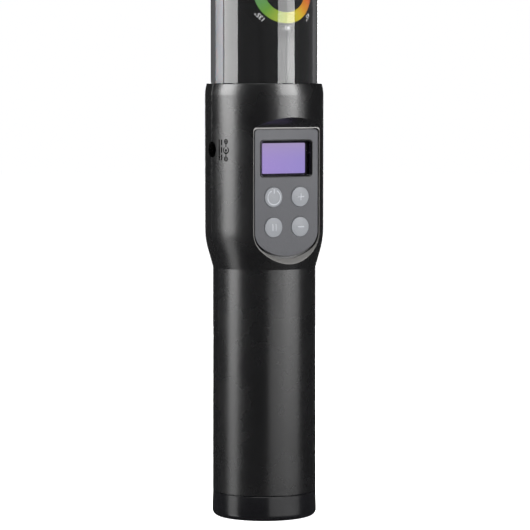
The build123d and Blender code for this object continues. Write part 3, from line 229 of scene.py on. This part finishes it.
MATERIALS = {
    "handle_plastic": surface("handle_plastic", (0.0034, 0.0034, 0.0037), 0.27, tint=0.25, grain_mm=0.9,
                              grain_depth_mm=0.03, rough_span=0.03, fixed={"Specular IOR Level": 0.85}),
    "cap_plastic": surface("cap_plastic", (0.0034, 0.0034, 0.0042), 0.20, tint=0.2, grain_mm=0.5,
                           grain_depth_mm=0.003, rough_span=0.03, fixed={"Specular IOR Level": 0.8}),
    "fascia_plastic": surface("fascia_plastic", (0.030, 0.031, 0.037), 0.44, tint=0.10, grain_mm=0.9,
                              grain_depth_mm=0.05),
    "bezel_paint": surface("bezel_paint", (0.20, 0.196, 0.19), 0.42, tint=0.05, grain_mm=0.4,
                           grain_depth_mm=0.004, fixed={"Metallic": 0.35}),
    "frame_plastic": surface("frame_plastic", (0.003, 0.003, 0.0035), 0.24, tint=0.2, grain_mm=0.5,
                             grain_depth_mm=0.001, rough_span=0.04),
    "lens_clear": clear_material("lens_clear", 0.02, (0.97, 0.97, 1.0), 1.04),
    "lcd_glass": lcd_material("lcd_glass"),
    "white_plastic": surface("white_plastic", (0.75, 0.75, 0.72), 0.5, tint=0.03),
    "switch_plastic": surface("switch_plastic", (0.012, 0.012, 0.012), 0.45),
    "plunger_plastic": surface("plunger_plastic", (0.02, 0.02, 0.022), 0.4),
    "board_laminate": surface("board_laminate", (0.012, 0.12, 0.045), 0.34, cloud_mm=3.0, grain_mm=0.4),
    "chip_plastic": surface("chip_plastic", (0.012, 0.012, 0.013), 0.5, grain_depth_mm=0.004),
    "black_steel": surface("black_steel", (0.05, 0.05, 0.053), 0.34, cloud_mm=1.5, grain_mm=0.25,
                           grain_depth_mm=0.004, fixed={"Metallic": 0.9}),
    "bright_steel": surface("bright_steel", (0.58, 0.58, 0.6), 0.28, cloud_mm=1.5, fixed={"Metallic": 1.0}),
    "jack_plastic": surface("jack_plastic", (0.004, 0.004, 0.004), 0.42),
    "contact_metal": surface("contact_metal", (0.66, 0.64, 0.6), 0.22, cloud_mm=1.5,
                             fixed={"Metallic": 1.0}),
    "bush_brass": surface("bush_brass", (0.62, 0.44, 0.17), 0.27, cloud_mm=2.0, grain_mm=0.2,
                          grain_depth_mm=0.004, stretch=(1, 1, 8), fixed={"Metallic": 1.0}),
    "seal_rubber": surface("seal_rubber", (0.006, 0.006, 0.006), 0.55, grain_depth_mm=0.006),
    "ring_plastic": surface("ring_plastic", (0.008, 0.008, 0.009), 0.5),
    "cell_can": surface("cell_can", (0.09, 0.22, 0.42), 0.3, tint=0.05),
    "wrap_film": surface("wrap_film", (0.02, 0.07, 0.32), 0.25, tint=0.08, grain_depth_mm=0.01),
    "foam_pad": surface("foam_pad", (0.06, 0.06, 0.06), 0.9, grain_mm=0.7, grain_depth_mm=0.1),
    "card_paper": surface("card_paper", (0.46, 0.38, 0.24), 0.85, grain_mm=0.6, grain_depth_mm=0.01),
    "tube_clear": clear_material("tube_clear", 0.010, (0.985, 0.99, 1.0), 1.49),
    "channel_black": surface("channel_black", (0.0022, 0.0022, 0.0024), 0.36, tint=0.3, cloud_mm=4.0,
                             grain_mm=0.8, grain_depth_mm=0.004, stretch=(1, 1, 0.02),
                             fixed={"Specular IOR Level": 0.2}),
    "diffuser_milky": milky_material("diffuser_milky"),
    "label_film": surface("label_film", (0.0022, 0.0022, 0.0024), 0.36, tint=0.2, grain_mm=0.4,
                          fixed={"Specular IOR Level": 0.2}),
    "led_board_white": surface("led_board_white", (0.78, 0.78, 0.76), 0.4, tint=0.03),
    "led_phosphor": surface("led_phosphor", (0.8, 0.68, 0.25), 0.4, tint=0.08, cloud_mm=1.0),
    "lead_insulation": surface("lead_insulation", (0.25, 0.02, 0.02), 0.45),
    "button_rubber": surface("button_rubber", (0.145, 0.152, 0.164), 0.50, tint=0.05, grain_mm=0.5,
                             grain_depth_mm=0.006),
}
ICON_INK = surface("icon_ink", (0.28, 0.29, 0.31), 0.5, tint=0.05, grain_mm=0.3, grain_depth_mm=0.004)
BLACK_INK = surface("black_ink", (0.0006, 0.0006, 0.0006), 0.95, tint=0.2, grain_mm=0.3,
                    fixed={"Specular IOR Level": 0.0})
WHITE_INK = surface("white_ink", (0.62, 0.62, 0.63), 0.5, tint=0.06, grain_mm=0.3)
RING_INK = printed_material("ring_ink")

for part in frame["record"]["subparts"]:
    obj = nodes[part["node"]]
    obj.data.materials.clear()
    obj.data.materials.append(MATERIALS[part["material_slot"]])


# ---------------------------------------------------------------- meshes

STROKE_SIDES = 6


def link_piece(name, mesh, material, body):
    """Adds a mesh as a piece that rides on a body."""
    piece = bpy.data.objects.new(name, mesh)
    scene.collection.objects.link(piece)
    mesh.materials.clear()
    mesh.materials.append(material)
    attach(piece, body)
    return piece


def mesh_of(name, build):
    """A mesh from a bmesh builder."""
    mesh = bpy.data.meshes.new(name)
    bm = bmesh.new()
    build(bm)
    bmesh.ops.recalc_face_normals(bm, faces=bm.faces)
    bm.to_mesh(mesh)
    bm.free()
    return mesh


def arc_points(centre, radius, start, end, steps):
    """Points on an arc, angles in degrees, anticlockwise."""
    points = []
    for i in range(steps + 1):
        angle = radians(start + (end - start) * i / steps)
        points.append((centre[0] + radius * cos(angle), centre[1] + radius * sin(angle)))
    return points


def line_points(start, end, steps):
    """Points along a straight stroke."""
    return [(start[0] + (end[0] - start[0]) * i / steps, start[1] + (end[1] - start[1]) * i / steps)
            for i in range(steps + 1)]


def side_of(points, i, closed):
    """Unit vector across a stroke at one of its points."""
    last = len(points) - 1
    a = points[i - 1] if i > 0 else (points[last] if closed else points[0])
    b = points[i + 1] if i < last else (points[0] if closed else points[last])
    dx, dy = b[0] - a[0], b[1] - a[1]
    length = sqrt(dx * dx + dy * dy)
    return -dy / length, dx / length


def raised_stroke(bm, points, width, height, place, closed=False):
    """A raised line: a half-round section swept along a flat drawing, set on a surface by place."""
    rings = []
    for i, (u, v) in enumerate(points):
        nx, ny = side_of(points, i, closed)
        ring = []
        for k in range(STROKE_SIDES + 1):
            t = pi * k / STROKE_SIDES
            across = -cos(t) * width / 2
            ring.append(bm.verts.new(place(u + nx * across, v + ny * across, height * sin(t))))
        rings.append(ring)
    count = len(rings)
    for i in range(count if closed else count - 1):
        a, b = rings[i], rings[(i + 1) % count]
        for k in range(STROKE_SIDES):
            bm.faces.new((a[k], a[k + 1], b[k + 1], b[k]))
        bm.faces.new((a[STROKE_SIDES], a[0], b[0], b[STROKE_SIDES]))
    if not closed:
        bm.faces.new(rings[0])
        bm.faces.new(list(reversed(rings[-1])))


def smooth(mesh):
    """Smooth shading over the whole mesh."""
    for polygon in mesh.polygons:
        polygon.use_smooth = True


# ---------------------------------------------------------------- button symbols

ICON_WIDTH = 0.55 * MM
ICON_HEIGHT = 0.16 * MM
ICON_LIFT = 0.02 * MM
DOME_EDGE_R = 4.15 * MM
DOME_RISE = 0.55 * MM
DOME_R = (DOME_EDGE_R ** 2 + DOME_RISE ** 2) / (2 * DOME_RISE)


def dome_place(node):
    """Puts a flat drawing on the dome of a button."""
    low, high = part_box(node)
    centre_x, centre_z = (low.x + high.x) / 2, (low.z + high.z) / 2
    crown = low.y

    def place(u, v, lift):
        depth = DOME_R - sqrt(DOME_R ** 2 - u * u - v * v)
        return Vector((centre_x + u, crown + depth - lift + ICON_LIFT, centre_z + v))

    return place


def scaled(points):
    """Drawing points in millimetres to metres."""
    return [(u * MM, v * MM) for u, v in points]


# Strokes of each button's symbol, as points in millimetres.
ICONS = {
    "power_button": [arc_points((0, -0.1), 3.15, 116, 424, 44), line_points((0, 1.6), (0, 3.6), 4)],
    "plus_button": [line_points((-1.6, 0), (1.6, 0), 6), line_points((0, -1.6), (0, 1.6), 6)],
    "pause_button": [line_points((-0.8, -1.55), (-0.8, 1.55), 6), line_points((0.8, -1.55), (0.8, 1.55), 6)],
    "minus_button": [line_points((-1.6, 0), (1.6, 0), 6)],
}
for node, strokes in ICONS.items():
    place = dome_place(node)

    def draw(bm, strokes=strokes, place=place):
        for points in strokes:
            raised_stroke(bm, scaled(points), ICON_WIDTH, ICON_HEIGHT, place)

    mesh = mesh_of(node + "_symbol", draw)
    smooth(mesh)
    link_piece(node + "_symbol", mesh, ICON_INK, node.replace("_button", "_key"))


# ---------------------------------------------------------------- prints on the collar

COLLAR_R = (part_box("handle_rear_shell")[1].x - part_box("handle_rear_shell")[0].x) / 2
INK_LIFT = 0.012 * MM
INK_HEIGHT = 0.02 * MM
INK_WIDTH = 0.5 * MM
DOT_WIDTH = 0.55 * MM
BAR_WIDTH = 0.7 * MM
POLARITY_AZIMUTH = -68.5
POLARITY_DROP = 0.1 * MM
BAR_AZIMUTH = -75.8
BAR_REACH = 4.5
BAR_SPACING = 0.75
DASH_LENGTH = 2.5
DASH_STARTS = (-4.5, -1.25, 2.0)
jack_low, jack_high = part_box("dc_jack_body")
JACK_Z = (jack_low.z + jack_high.z) / 2


def collar_place(azimuth, height):
    """Puts a flat drawing on the collar's round wall, at an azimuth from the panel's normal."""

    def place(u, v, lift):
        angle = radians(azimuth) + u / COLLAR_R
        radius = COLLAR_R + INK_LIFT + lift
        return Vector((radius * sin(angle), -radius * cos(angle), height + v))

    return place


# Points in millimetres, width, and whether the stroke is closed. In order: lower ring and its bar, upper
# ring and the two strokes of its plus, upper lead, open ring, dot, lower lead.
POLARITY_STROKES = (
    (arc_points((0, -3.75), 0.85, 0, 345, 24), INK_WIDTH, True),
    (line_points((-0.4, -3.75), (0.4, -3.75), 2), INK_WIDTH, False),
    (arc_points((0, 3.75), 0.85, 0, 345, 24), INK_WIDTH, True),
    (line_points((-0.4, 3.75), (0.4, 3.75), 2), INK_WIDTH, False),
    (line_points((0, 3.35), (0, 4.15), 2), INK_WIDTH, False),
    (line_points((0, 2.9), (0, 1.3), 4), INK_WIDTH, False),
    (arc_points((0, 0), 1.4, 125, 415, 32), INK_WIDTH, False),
    (arc_points((0, 0), 0.28, 0, 330, 12), DOT_WIDTH, True),
    (line_points((0, -0.3), (0, -2.9), 6), INK_WIDTH, False),
)


def polarity_symbol(bm):
    """A plus in a ring above and a bar in a ring below, with leads to a dot in an open ring."""
    place = collar_place(POLARITY_AZIMUTH, JACK_Z - POLARITY_DROP)
    for points, width, closed in POLARITY_STROKES:
        raised_stroke(bm, scaled(points), width, INK_HEIGHT, place, closed=closed)


def direct_current_symbol(bm):
    """Generic direct-current symbol: a solid bar beside a dashed one, running up the collar."""
    place = collar_place(BAR_AZIMUTH, JACK_Z)
    solid = line_points((-BAR_SPACING, -BAR_REACH), (-BAR_SPACING, BAR_REACH), 10)
    dashes = [line_points((BAR_SPACING, low), (BAR_SPACING, low + DASH_LENGTH), 4) for low in DASH_STARTS]
    for points in (solid, *dashes):
        raised_stroke(bm, scaled(points), BAR_WIDTH, INK_HEIGHT, place)


for name, draw in (("polarity_symbol", polarity_symbol), ("dc_symbol", direct_current_symbol)):
    link_piece(name, mesh_of(name, draw), BLACK_INK, HANDLE)


# ---------------------------------------------------------------- colour ring in the tube

label_low, label_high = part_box("colour_wheel_label")
LABEL_Z = (label_low.z + label_high.z) / 2
LABEL_R = 21.41 * MM
LABEL_AZIMUTH = -3.0
RING_INNER = 9.7 * MM
RING_OUTER = 14.4 * MM
NUMBER_R = 15.4 * MM
NUMBER_SIZE = 2.75 * MM
NUMBER_WEIGHT = 0.015 * MM
NUMBER_STEP = 45
PRINT_LIFT = 0.03 * MM
RING_STEPS = 180
RING_ROWS = 5


def label_place(u, v, lift):
    """Puts a flat drawing on the round label."""
    angle = radians(LABEL_AZIMUTH) + u / LABEL_R
    radius = LABEL_R + lift
    return Vector((radius * sin(angle), -radius * cos(angle), LABEL_Z + v))


# Angle in degrees, clockwise from the right, and the ink there.
RING_COLOURS = (
    (0, (0.46, 0.022, 0.014)),
    (22, (0.46, 0.100, 0.010)),
    (45, (0.50, 0.230, 0.012)),
    (60, (0.48, 0.370, 0.012)),
    (90, (0.33, 0.360, 0.020)),
    (135, (0.095, 0.23, 0.028)),
    (175, (0.085, 0.22, 0.105)),
    (200, (0.070, 0.21, 0.240)),
    (225, (0.060, 0.15, 0.320)),
    (270, (0.060, 0.07, 0.320)),
    (315, (0.270, 0.035, 0.230)),
    (360, (0.46, 0.022, 0.014)),
)


def ring_colour(angle):
    """The ring's ink at an angle in degrees, clockwise from the right."""
    for (start, first), (end, second) in zip(RING_COLOURS, RING_COLOURS[1:]):
        if start <= angle <= end:
            t = (angle - start) / (end - start)
            return [a + (b - a) * t for a, b in zip(first, second)]


def ring_mesh():
    """The colour ring as a wrapped band, with its hue in a colour attribute."""
    mesh = bpy.data.meshes.new("colour_ring")
    bm = bmesh.new()
    layer = bm.loops.layers.float_color.new("ink")
    grid = []
    for i in range(RING_STEPS):
        angle = 2 * pi * i / RING_STEPS
        column = []
        for k in range(RING_ROWS + 1):
            r = RING_INNER + (RING_OUTER - RING_INNER) * k / RING_ROWS
            column.append(bm.verts.new(label_place(r * cos(angle), -r * sin(angle), PRINT_LIFT)))
        grid.append(column)
    for i in range(RING_STEPS):
        colour = ring_colour(360 * (i + 0.5) / RING_STEPS)
        for k in range(RING_ROWS):
            a, b = grid[i], grid[(i + 1) % RING_STEPS]
            face = bm.faces.new((a[k], a[k + 1], b[k + 1], b[k]))
            face.smooth = True
            for loop in face.loops:
                loop[layer] = (*colour, 1)
    bmesh.ops.recalc_face_normals(bm, faces=bm.faces)
    bm.to_mesh(mesh)
    bm.free()
    return mesh


def number_mesh(degree):
    """One scale number, wrapped on the label with its top outwards."""
    curve = bpy.data.curves.new(f"degree_{degree}", "FONT")
    curve.body = f"{degree}°"
    curve.size = NUMBER_SIZE
    curve.align_x = "CENTER"
    curve.offset = NUMBER_WEIGHT
    curve.resolution_u = 3
    text = bpy.data.objects.new("text", curve)
    mesh = bpy.data.meshes.new_from_object(text)
    bpy.data.objects.remove(text)
    theta = radians(-degree)
    up = (cos(theta), sin(theta))
    across = (up[1], -up[0])
    for vertex in mesh.vertices:
        x, y = vertex.co.x, vertex.co.y + NUMBER_R
        vertex.co = label_place(across[0] * x + up[0] * y, across[1] * x + up[1] * y, PRINT_LIFT)
    return mesh


link_piece("colour_ring", ring_mesh(), RING_INK, HANDLE)
for degree in range(0, 360, NUMBER_STEP):
    mesh = number_mesh(degree)
    mesh.name = f"degree_{degree}"
    link_piece(f"degree_{degree}", mesh, WHITE_INK, HANDLE)


# ---------------------------------------------------------------- screw threads

TRIPOD_ROOT_R = 3.175 * MM
TRIPOD_CREST_R = 2.625 * MM
TRIPOD_PITCH = 1.27 * MM
TRIPOD_Z = (0.5 * MM, 9.3 * MM)
CAP_THREAD_DEPTH = 0.75 * MM
CAP_THREAD_PITCH = 2.0 * MM
THREAD_FADE = 0.02
THREAD_STEPS = 36
# Each corner of the ridge: how far from root to crest, and how far up as a share of the pitch.
THREAD_SECTION = ((0.0, 0.0), (1.0, 0.36), (1.0, 0.50), (0.0, 0.86))


def thread_ridge(bm, root_r, crest_r, pitch, low, high):
    """Helical ridge from a root radius to a crest radius, fading out at both ends."""
    last = int(((high - low) / pitch - 1.0) * THREAD_STEPS)
    rings = []
    for i in range(last + 1):
        angle = 2 * pi * i / THREAD_STEPS
        base = low + pitch * i / THREAD_STEPS
        fade = max(THREAD_FADE, min(1.0, 2 * i / THREAD_STEPS, 2 * (last - i) / THREAD_STEPS))
        ring = []
        for out, rise in THREAD_SECTION:
            radius = root_r + (crest_r - root_r) * out * fade
            ring.append(bm.verts.new((radius * cos(angle), radius * sin(angle), base + rise * pitch)))
        rings.append(ring)
    for a, b in zip(rings, rings[1:]):
        for k in range(len(a)):
            after = (k + 1) % len(a)
            bm.faces.new((a[k], a[after], b[after], b[k]))
    bm.faces.new(rings[0])
    bm.faces.new(list(reversed(rings[-1])))


def tripod_thread(bm):
    """Inch thread in the brass bush: 20 to the inch."""
    thread_ridge(bm, TRIPOD_ROOT_R, TRIPOD_CREST_R, TRIPOD_PITCH, *TRIPOD_Z)


def cap_thread(bm):
    """The cap's screw thread, on the spigot's core."""
    low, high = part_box("spigot_thread")
    crest_r = (high.x - low.x) / 2
    thread_ridge(bm, crest_r - CAP_THREAD_DEPTH, crest_r, CAP_THREAD_PITCH, low.z, high.z)


def thread_piece(name, draw, slot):
    """A screw thread that turns with the base cap."""
    return link_piece(name, mesh_of(name, draw), MATERIALS[slot], "base_cap")


thread_piece("tripod_thread", tripod_thread, "bush_brass")
cap_thread_piece = thread_piece("cap_thread", cap_thread, "cap_plastic")
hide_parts("spigot_thread")


# ---------------------------------------------------------------- floor, light and camera

CAMERA_AZIMUTH = -29.0
CAMERA_DISTANCE = 1.220
CAMERA_HEIGHT = 0.1968
AIM_HEIGHT = 0.1107
FOCAL_PX = 2771.0
FRAME_PX = 530.0
SENSOR_MM = 36.0
OVERHEAD_SIDE = 1.0
OVERHEAD_HEIGHT = 1.6
OVERHEAD_RADIANCE = 2.0
AIM_ASIDE = 0.35 * MM
CLIP_START = 0.05
FLOOR_R = 4.0
FLOOR_SEGMENTS = 96
WORLD_AMBIENT = 0.035
WORLD_THROUGH = 0.125
WORLD_SEEN = 1.0
WORLD_BLUE = 1.02
STRIP_DISTANCE = 0.9
# Name, first and last azimuth off the camera, and lamps as low height, high height and radiance.
STRIPS = (
    ("left", -96, -57, ((0.186, 0.9, 8.6), (0.9, 1.4, 3.5))),
    ("left_collar", -88, -57, ((0.13, 0.186, 2.7),)),
    ("left_middle", -85, -54, ((0.06, 0.13, 3.4),)),
    ("left_low", -86, -61, ((-0.03, 0.06, 3.5), (-0.09, -0.03, 1.0), (-0.125, -0.09, 0.55),
                            (-0.5, -0.125, 1.65))),
    ("right", 29, 50, ((0.186, 0.22, 8.4), (0.22, 0.9, 6.8), (0.9, 1.4, 3.5))),
    ("right_edge", 50, 68, ((0.186, 0.22, 12.0), (0.22, 0.9, 9.5), (0.9, 1.4, 3.5))),
    ("right_collar", 44, 84, ((0.13, 0.186, 2.0), (0.06, 0.13, 2.6))),
    ("right_low", 0, 94, ((-0.03, 0.06, 1.95), (-0.09, -0.03, 1.05), (-0.125, -0.09, 0.34),
                          (-0.5, -0.125, 0.22))),
    ("back", 171, 189, ((-0.2, 1.2, 6.0),)),
)


def around(azimuth, distance, height):
    """A point at an azimuth seen from above, where 0 is in front of the panel."""
    angle = radians(azimuth)
    return Vector((distance * sin(angle), -distance * cos(angle), height))


def floor_material():
    """Pale even floor."""
    material = surface("floor_pale", (0.9, 0.9, 0.9), 0.6, tint=0.01, cloud_mm=400.0, grain_mm=20.0)
    shader = material.node_tree.nodes["Principled BSDF"]
    shader.inputs["Emission Color"].default_value = (1, 1, 1, 1)
    shader.inputs["Emission Strength"].default_value = 1.0
    return material


def add_floor():
    """A wide round floor that doesn't show in the object's gloss."""
    mesh = bpy.data.meshes.new("floor")
    bm = bmesh.new()
    bmesh.ops.create_circle(bm, cap_ends=True, radius=FLOOR_R, segments=FLOOR_SEGMENTS)
    bm.to_mesh(mesh)
    bm.free()
    mesh.materials.append(floor_material())
    floor = bpy.data.objects.new("floor", mesh)
    scene.collection.objects.link(floor)
    floor.visible_glossy = False
    floor.visible_shadow = False
    floor.visible_transmission = False


def aim(obj, target):
    """Turns a lamp or camera towards a point."""
    direction = Vector(target) - obj.location
    obj.rotation_euler = direction.to_track_quat("-Z", "Y").to_euler()


def softbox(name, azimuth, distance, width, z_pair, radiance):
    """A flat lamp facing the object's axis."""
    height = z_pair[1] - z_pair[0]
    lamp = bpy.data.lights.new(name, "AREA")
    lamp.shape = "RECTANGLE"
    lamp.size = width
    lamp.size_y = height
    lamp.energy = radiance * pi * width * height
    box = bpy.data.objects.new(name, lamp)
    scene.collection.objects.link(box)
    middle = sum(z_pair) / 2
    box.location = around(azimuth, distance, middle)
    aim(box, (0, 0, middle))
    box.visible_camera = False
    box.visible_transmission = False


def strip_light(name, start, end, levels):
    """A tall strip light made of lamps one above another, from one azimuth to another off the camera."""
    width = 2 * STRIP_DISTANCE * sin(radians((end - start) / 2))
    for index, (low, high, radiance) in enumerate(levels):
        azimuth = CAMERA_AZIMUTH + (start + end) / 2
        softbox(f"{name}_{index}", azimuth, STRIP_DISTANCE, width, (low, high), radiance)


for name, start, end, levels in STRIPS:
    strip_light(name, start, end, levels)


def add_overhead():
    """Soft lamp above the tube, facing down."""
    lamp = bpy.data.lights.new("overhead", "AREA")
    lamp.shape = "SQUARE"
    lamp.size = OVERHEAD_SIDE
    lamp.energy = OVERHEAD_RADIANCE * pi * OVERHEAD_SIDE ** 2
    box = bpy.data.objects.new("overhead", lamp)
    scene.collection.objects.link(box)
    box.location = (0, 0, OVERHEAD_HEIGHT)
    box.visible_camera = False


def add_world():
    """White all round to the eye, grey through clear plastic, and dim grey to everything else."""
    world = bpy.data.worlds.new("studio")
    scene.world = world
    world.use_nodes = True
    tree = world.node_tree
    tree.nodes.clear()
    path = tree.nodes.new("ShaderNodeLightPath")
    dim = background(tree, WORLD_AMBIENT)
    grey = background(tree, WORLD_THROUGH)
    through = mixed_shader(tree, path, "Is Transmission Ray", dim, grey)
    seen = mixed_shader(tree, path, "Is Camera Ray", through, background(tree, WORLD_SEEN))
    output = tree.nodes.new("ShaderNodeOutputWorld")
    tree.links.new(seen.outputs[0], output.inputs["Surface"])


def background(tree, level):
    """An even world light."""
    node = tree.nodes.new("ShaderNodeBackground")
    node.inputs["Color"].default_value = (level, level, level * WORLD_BLUE, 1)
    return node


def mixed_shader(tree, path, ray, otherwise, seen):
    """One shader for a kind of ray, another otherwise."""
    mix = tree.nodes.new("ShaderNodeMixShader")
    connect(tree, path, ray, mix, "Fac")
    tree.links.new(otherwise.outputs[0], mix.inputs[1])
    tree.links.new(seen.outputs[0], mix.inputs[2])
    return mix


def add_camera():
    """Long lens at the photograph's angle."""
    data = bpy.data.cameras.new("camera")
    data.sensor_width = SENSOR_MM
    data.lens = FOCAL_PX * SENSOR_MM / FRAME_PX
    data.clip_start = CLIP_START
    camera = bpy.data.objects.new("camera", data)
    scene.collection.objects.link(camera)
    camera.location = around(CAMERA_AZIMUTH, CAMERA_DISTANCE, CAMERA_HEIGHT)
    right = Vector((cos(radians(CAMERA_AZIMUTH)), sin(radians(CAMERA_AZIMUTH)), 0))
    aim(camera, right * AIM_ASIDE + Vector((0, 0, AIM_HEIGHT)))
    scene.camera = camera


add_floor()
add_overhead()
add_world()
add_camera()
scene.view_settings.view_transform = "Standard"
